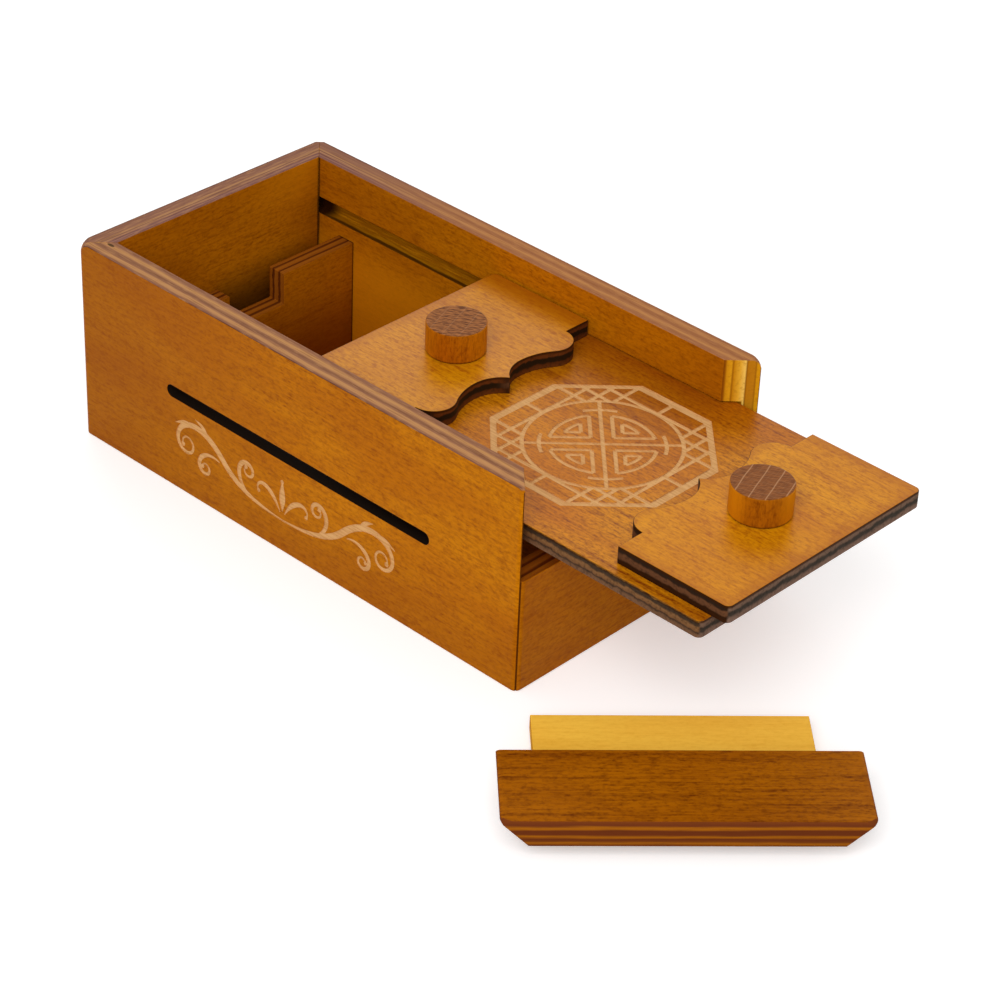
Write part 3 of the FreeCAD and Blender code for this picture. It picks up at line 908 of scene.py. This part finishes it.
def fan(apex, radius):
    """Paths of one fan of the medallion: two sides from the apex and an arc between their ends."""
    half = math.radians(45)
    reach = math.sqrt(radius**2 - (apex * math.sin(half)) ** 2) - apex * math.cos(half)
    end = Vector((apex + reach * math.cos(half), reach * math.sin(half)))
    spread = math.atan2(end.y, end.x)
    tip = Vector((apex, 0.0))
    return [tip, end], [tip, Vector((end.x, -end.y))], arc(radius, -spread, spread)


def arc(radius, first, last, steps=24):
    """Points on a circle round the middle, from the first to the last angle."""
    angles = [first + (last - first) * step / steps for step in range(steps + 1)]
    return [turned(Vector((radius, 0.0)), angle) for angle in angles]


def lid_ornament():
    """The strokes on the lid: an octagonal lattice round a medallion of fans."""
    flat_inside = OCTAGON_REACH - OCTAGON_FLAT_STROKE
    slant_inside = OCTAGON_REACH - OCTAGON_SLANT_STROKE
    border = octagon(OCTAGON_REACH, OCTAGON_REACH), octagon(flat_inside, slant_inside)
    strokes = [tuple(corners + corners[:1] for corners in border)]
    ring = arc(RING_RADIUS, 0.0, math.tau, RING_STEPS)
    strokes.append(stroke(ring, [RING_STROKE] * len(ring)))
    spoke = [Vector((0.0, 0.0)), Vector((RING_RADIUS, 0.0))]
    cap = arc(MEDALLION_CAP, -MEDALLION_CAP_SPREAD, MEDALLION_CAP_SPREAD)
    for quarter in range(4):
        turn = math.tau * quarter / 4
        half_turn = turn + math.tau / 8
        paths = [(LATTICE_STROKE, turn, bar) for bar in lattice_bars()]
        for apex, radius in MEDALLION_FANS:
            paths += [(MEDALLION_STROKE, turn, path) for path in fan(apex, radius)]
        paths += [(MEDALLION_STROKE, half_turn, path) for path in (spoke, cap)]
        for width, angle, path in paths:
            strokes.append(stroke([turned(point, angle) for point in path], [width] * len(path)))
    return strokes


# The scrolls on the front: start, heading in degrees, runs (length in mm, first and last bend in degrees
# per mm), thinnest and thickest width in mm, place of the thickest, radius of the bead at the end.
SCROLLS = (
    ((0.0, -6.6), 2, ((26, 0.3, 3.0), (20, -1.0, -7.5), (24, -8.0, -30.0)), 0.6, 2.2, 0.40, 0.8),
    ((12.0, -5.8), 24, ((10, 3.0, 10.0), (17, 10.0, 42.0)), 0.5, 1.6, 0.42, 0.75),
    ((26.0, 0.2), 22, ((8, -7.0, -9.0), (15, -11.0, -46.0)), 0.5, 1.5, 0.38, 0.7),
    ((36.0, 6.4), 24, ((9, -9.0, -2.0),), 0.3, 1.7, 0.45, 0.0),
    ((31.0, 6.9), 52, ((6, -9.0, -2.0),), 0.3, 1.3, 0.45, 0.0),
    ((0.0, -3.6), 90, ((10.5, 0.0, 0.0),), 0.4, 2.4, 0.40, 0.7),
    ((0.9, -4.2), 62, ((8, -1.0, -8.0), (7, -9.0, -44.0)), 0.4, 1.6, 0.42, 0.7),
)

# The steps along a scroll, the narrow neck before its bead, and how far from the middle line it has to end
# to be mirrored, in mm. A swell above 1 gathers a stroke's width round its thickest place.
SCROLL_STEP = 0.4
SCROLL_NECK = 0.1
OFF_MIDDLE = 0.1
SWELL = 1.5


def sweep(start, heading, runs):
    """A line that leaves start at a heading and bends as its runs say."""
    point = Vector(start)
    angle = math.radians(heading)
    path = [point.copy()]
    for length, first, last in runs:
        steps = round(length / SCROLL_STEP)
        for step in range(steps):
            bend = first + (last - first) * (step + 0.5) / steps
            angle += math.radians(bend) * length / steps
            point += Vector((math.cos(angle), math.sin(angle))) * (length / steps)
            path.append(point.copy())
    return path


def brush(count, thin, thick, peak, bead):
    """Widths of a stroke that swells to its peak and ends in a round bead."""
    widths = []
    for index in range(count):
        share = index / (count - 1)
        swell = share / peak if share < peak else (1 - share) / (1 - peak)
        width = thin + (thick - thin) * math.sin(swell * math.pi / 2) ** SWELL
        left = (count - 1 - index) * SCROLL_STEP
        if left < 2 * bead:
            stem = width if left > bead else SCROLL_NECK
            width = max(stem, 2 * math.sqrt(left * (2 * bead - left)))
        widths.append(width)
    return widths


def front_ornament():
    """The strokes on the front: a flourish of scrolls, the same to the left and the right."""
    strokes = []
    for start, heading, runs, thin, thick, peak, bead in SCROLLS:
        path = sweep(start, heading, runs)
        widths = brush(len(path), thin, thick, peak, bead)
        for mirror in (1, -1) if path[-1].x > OFF_MIDDLE else (1,):
            strokes.append(stroke([Vector((mirror * point.x, point.y)) for point in path], widths))
    return strokes


def eased_copy(node):
    """A CAD node's shape with eased edges, as a bmesh."""
    source = frame["nodes"][node].data.copy()
    source.attributes.remove(source.attributes["custom_normal"])
    copy = new_object(node + "_copy", source)
    ease(copy, BOARD_EASE)
    shape = bmesh.new()
    shape.from_object(copy, bpy.context.evaluated_depsgraph_get())
    bpy.data.objects.remove(copy)
    return shape


def sink(shape, ground, strokes, across, up, out, middle):
    """Sinks strokes into the flat ground faces of a shape.

    The strokes are drawn in mm from the middle, along across and up. Their floor lies ENGRAVED_DEPTH
    below the ground, and it and its sides get the second material.
    """
    corners = list(dict.fromkeys(corner for face in ground for corner in face.verts))
    number = {corner: index for index, corner in enumerate(corners)}
    offsets = [corner.co - middle for corner in corners]
    points = [Vector((offset.dot(across), offset.dot(up))) / MM for offset in offsets]
    outlines = [[number[corner] for corner in face.verts] for face in ground]
    level = offsets[0].dot(out)
    for cell in cells(strokes):
        outlines.append(list(range(len(points), len(points) + 4)))
        points += cell
    places, _, parts, sources, _, owners = delaunay_2d_cdt(points, [], outlines, 1, MERGED)
    bmesh.ops.delete(shape, geom=ground, context="FACES_ONLY")
    for edge in [edge for edge in shape.edges if edge.is_wire]:
        shape.edges.remove(edge)

    made = {}

    def corner_at(index, sunk):
        known = [source for source in sources[index] if source < len(corners)]
        if known and not sunk:
            return corners[known[0]]
        if (index, sunk) not in made:
            height = level - ENGRAVED_DEPTH * MM * sunk
            made[index, sunk] = shape.verts.new(
                middle + (across * places[index].x + up * places[index].y) * MM + out * height
            )
        return made[index, sunk]

    sides = {}
    for part, owner in zip(parts, owners):
        if min(owner, default=len(ground)) >= len(ground):
            continue
        sunk = max(owner) >= len(ground)
        face = shape.faces.new([corner_at(index, sunk) for index in part])
        face.material_index = int(sunk)
        for first, second in zip(part, part[1:] + part[:1]):
            sides[first, second] = sunk
    for (first, second), sunk in sides.items():
        if sunk and sides.get((second, first)) is False:
            floor_side = [corner_at(second, True), corner_at(first, True)]
            ground_side = [corner_at(first, False), corner_at(second, False)]
            shape.faces.new(floor_side + ground_side).material_index = 1
    shape.normal_update()
    bend = math.radians(GROUND_BEND)
    bmesh.ops.dissolve_limit(
        shape, angle_limit=bend, verts=shape.verts, edges=shape.edges, delimit={"MATERIAL"}
    )


def round_tip(shape, out, top, radius):
    """Rounds off the tip of a shape that reaches farthest along out, at its top edge, by radius mm."""
    reach = max(corner.co.dot(out) for corner in shape.verts) - radius * MM
    level = max(corner.co.dot(top) for corner in shape.verts) - radius * MM
    for angle in TIP_FACETS:
        normal = out * math.cos(math.radians(angle)) + top * math.sin(math.radians(angle))
        touch = out * reach + top * level + normal * radius * MM
        parts = shape.verts[:] + shape.edges[:] + shape.faces[:]
        cut = bmesh.ops.bisect_plane(shape, geom=parts, plane_co=touch, plane_no=normal, clear_outer=True)
        border = [part for part in cut["geom_cut"] if isinstance(part, bmesh.types.BMEdge)]
        bmesh.ops.edgenet_fill(shape, edges=border)
    shape.normal_update()


def wall_tips(node):
    """A wall's tips at the rim: the direction out along the diagonal, up, and the rounding."""
    return [(Vector((x, y, 0.0)).normalized(), UP, radius) for x, y, radius in WALL_TIPS.get(node, ())]


def end_board_tips():
    """The end board's tips: the direction out between its length and its face, near, and the rounding."""
    turn = math.radians(END_PANEL_TURN)
    along = Vector((math.cos(turn), math.sin(turn), 0.0))
    near = Vector((math.sin(turn), -math.cos(turn), 0.0))
    return [((along * side + UP).normalized(), near, END_TIP) for side in (1, -1)]


def round_off(node, material, tips):
    """Makes a piece that stands for a CAD node, with eased edges and rounded tips."""
    shape = eased_copy(node)
    for tip in tips:
        round_tip(shape, *tip)
    stand_in(node, "_rounded", shape, [material])


def engrave(node, strokes, material, bare, across, up, middle):
    """Makes a piece that stands for a CAD node, with eased edges and an engraved face."""
    shape = eased_copy(node)
    for tip in wall_tips(node):
        round_tip(shape, *tip)
    out = across.cross(up)
    reach = max(corner.co.dot(out) for corner in shape.verts)
    ground = [
        face
        for face in shape.faces
        if face.normal.dot(out) > GROUND_FACES
        and abs(face.verts[0].co.dot(out) - reach) < GROUND_LEVEL * MM
    ]
    sink(shape, ground, strokes, across, up, out, middle)
    stand_in(node, "_engraved", shape, [material, bare])


def stand_in(node, suffix, shape, materials):
    """Turns a shape into the piece that stands for a CAD node."""
    for face in shape.faces:
        face.smooth = True
    mesh = bpy.data.meshes.new(node + suffix)
    for material in materials:
        mesh.materials.append(material)
    shape.to_mesh(mesh)
    shape.free()
    mesh.set_sharp_from_angle(angle=math.radians(SHARP_BEND))
    piece = new_object(node + suffix, mesh)
    smooth(piece, keep_sharp=True)
    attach(piece, BODY_OF[node])
    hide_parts(node)


def set_camera():
    """A long lens, high on the right, turned a little about its own axis."""
    azimuth, elevation, roll = (math.radians(angle) for angle in CAMERA_TURNS)
    level = Vector((math.cos(azimuth), math.sin(azimuth), 0.0))
    ahead = UP.cross(level) * math.cos(elevation) - UP * math.sin(elevation)
    right = level * math.cos(roll) + level.cross(ahead) * math.sin(roll)
    up = right.cross(ahead)
    lens = bpy.data.cameras.new("camera")
    lens.lens = CAMERA_LENS
    lens.sensor_width = CAMERA_FILM
    lens.clip_start = CAMERA_NEAR
    camera = new_object("camera", lens)
    turn = Matrix((right, up, -ahead)).transposed().to_4x4()
    camera.matrix_world = Matrix.Translation(CAMERA_PLACE) @ turn
    bpy.context.scene.camera = camera


def lamp(name, place, aim, width, height, level):
    """A soft rectangular lamp whose face is as bright as level says, where 1 is white."""
    light = bpy.data.lights.new(name, "AREA")
    light.shape = "RECTANGLE"
    light.size = width
    light.size_y = height
    light.energy = level * math.pi * width * height
    lit = new_object(name, light)
    lit.location = place
    lit.rotation_mode = "QUATERNION"
    lit.rotation_quaternion = (Vector(aim) - Vector(place)).to_track_quat("-Z", "Y")


def seen(graph):
    """1 for rays that show the surround itself or its reflection, 0 for rays that light the object."""
    path = graph.add("ShaderNodeLightPath", {}).outputs
    mirrored = graph.math("MAXIMUM", path["Is Glossy Ray"], path["Is Transmission Ray"])
    return graph.math("MAXIMUM", path["Is Camera Ray"], mirrored)


def set_world():
    """An even white surround that lights the object softly and looks white itself."""
    world = bpy.data.worlds.new("studio")
    bpy.context.scene.world = world
    world.use_nodes = True
    graph = Graph(world.node_tree)
    sockets = graph.tree.nodes["Background"].inputs
    sockets["Color"].default_value = WHITE
    graph.put(sockets["Strength"], graph.rise(seen(graph), 0.0, 1.0, SURROUND_LIGHT, 1.0))


def set_floor():
    """A white floor that keeps the object's shadow and otherwise looks as white as the surround."""
    shape = bmesh.new()
    bmesh.ops.create_grid(shape, x_segments=1, y_segments=1, size=FLOOR_SIZE / 2)
    mesh = bpy.data.meshes.new("floor")
    shape.to_mesh(mesh)
    shape.free()
    floor = new_object("floor", mesh)
    floor.location.z = -FLOOR_DROP * MM
    graph = Material("floor_white")
    graph.shade({"Base Color": FLOOR_TONE, "Roughness": 1.0, "Specular IOR Level": 0.0})
    point = graph.add("ShaderNodeTexCoord", {}).outputs["Object"]
    away = graph.add("ShaderNodeVectorMath", {0: point}, operation="LENGTH").outputs["Value"]
    white = graph.rise(away, *FLOOR_REACH, *FLOOR_WHITE)
    glow = graph.math("MULTIPLY", seen(graph), white)
    graph.shade({"Emission Color": WHITE, "Emission Strength": glow})
    dress(floor, graph.material)
    floor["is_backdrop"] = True


def dress_box():
    """The walls, the boards between them and the bottom."""
    for node, axes, outward in (("back_wall", "XZY", 1), ("left_end_wall", "YZX", -1)):
        round_off(node, wall_material(node, axes, outward), wall_tips(node))
    carry_over("low_end_wall", wall_material("low_end_wall", "YZX", 1), BOARD_EASE)
    for node in ("inner_divider", "corner_block"):
        carry_over(node, inner_material(node, "YZX"), BOARD_EASE)
    carry_over("bottom_panel", flat_material("bottom_panel"), BOARD_EASE)

    bare = engraving_material("front_engraving", "XZY")
    wall = wall_material("front_wall", "XZY", -1)
    engrave("front_wall", front_ornament(), wall, bare, ALONG, UP, FRONT_ORNAMENT)


def dress_lid():
    """The lid panel with its plates, knobs and screws."""
    bare = engraving_material("lid_engraving", "XYZ")
    edges = (LID_SIDE_PLIES_AND_HIGHLIGHT, GREY_BURNT_PLIES)
    panel = burnt_material("lid_panel", LID_TONES, LID_GRAIN, POLISHED, LID_SCORCH, edges, LID_BACK_SHADOW)
    engrave("lid_panel", lid_ornament(), panel, bare, ALONG, BACK, LID_ORNAMENT)
    # Node, tones, gloss, plies on the edges across the grain.
    plates = (
        ("left_plate", PLATE_TONES, BRIGHT, RED_BURNT_PLIES),
        ("right_plate", GOLD_PLATE_TONES, POLISHED, GREY_BURNT_PLIES),
    )
    for node, tones, specular, ends in plates:
        edges = (PLATE_SIDE_PLIES, ends)
        plate = burnt_material(node, tones, PLATE_GRAIN, specular, PLATE_SCORCH, edges, PLATE_BACK_SHADOW)
        carry_over(node, plate, BOARD_EASE)
    # Node, tones, how much painted light its sides get towards the camera's left and right, tones of its
    # top, strength of the dashes and the rays.
    knobs = (
        ("left_knob", KNOB_TONES, 0.3, KNOB_TOP_TONES, (1.0, 0.2)),
        ("right_knob", DARK_KNOB_TONES, 0.75, DARK_KNOB_TOP_TONES, (0.6, 0.75)),
    )
    for node, *looks in knobs:
        carry_over(node, knob_material(node, *looks), KNOB_EASE)
    zinc = screw_material()
    for node in ("left_knob_screw", "right_knob_screw"):
        dress(frame["nodes"][node], zinc)


def dress_end_panel():
    """The end panel's board and tongue."""
    round_off("end_board", flat_material("end_board"), end_board_tips())
    carry_over("end_tongue", flat_material("end_tongue"), BOARD_EASE)


dress_box()
dress_lid()
dress_end_panel()
set_camera()
set_world()
set_floor()
for lamp_looks in LAMPS:
    lamp(*lamp_looks)
bpy.context.scene.view_settings.view_transform = "Standard"

visual_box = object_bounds()
boxes = {"cad": cad_box, "visual": visual_box}
{name: [list(corner) for corner in box] for name, box in boxes.items()}
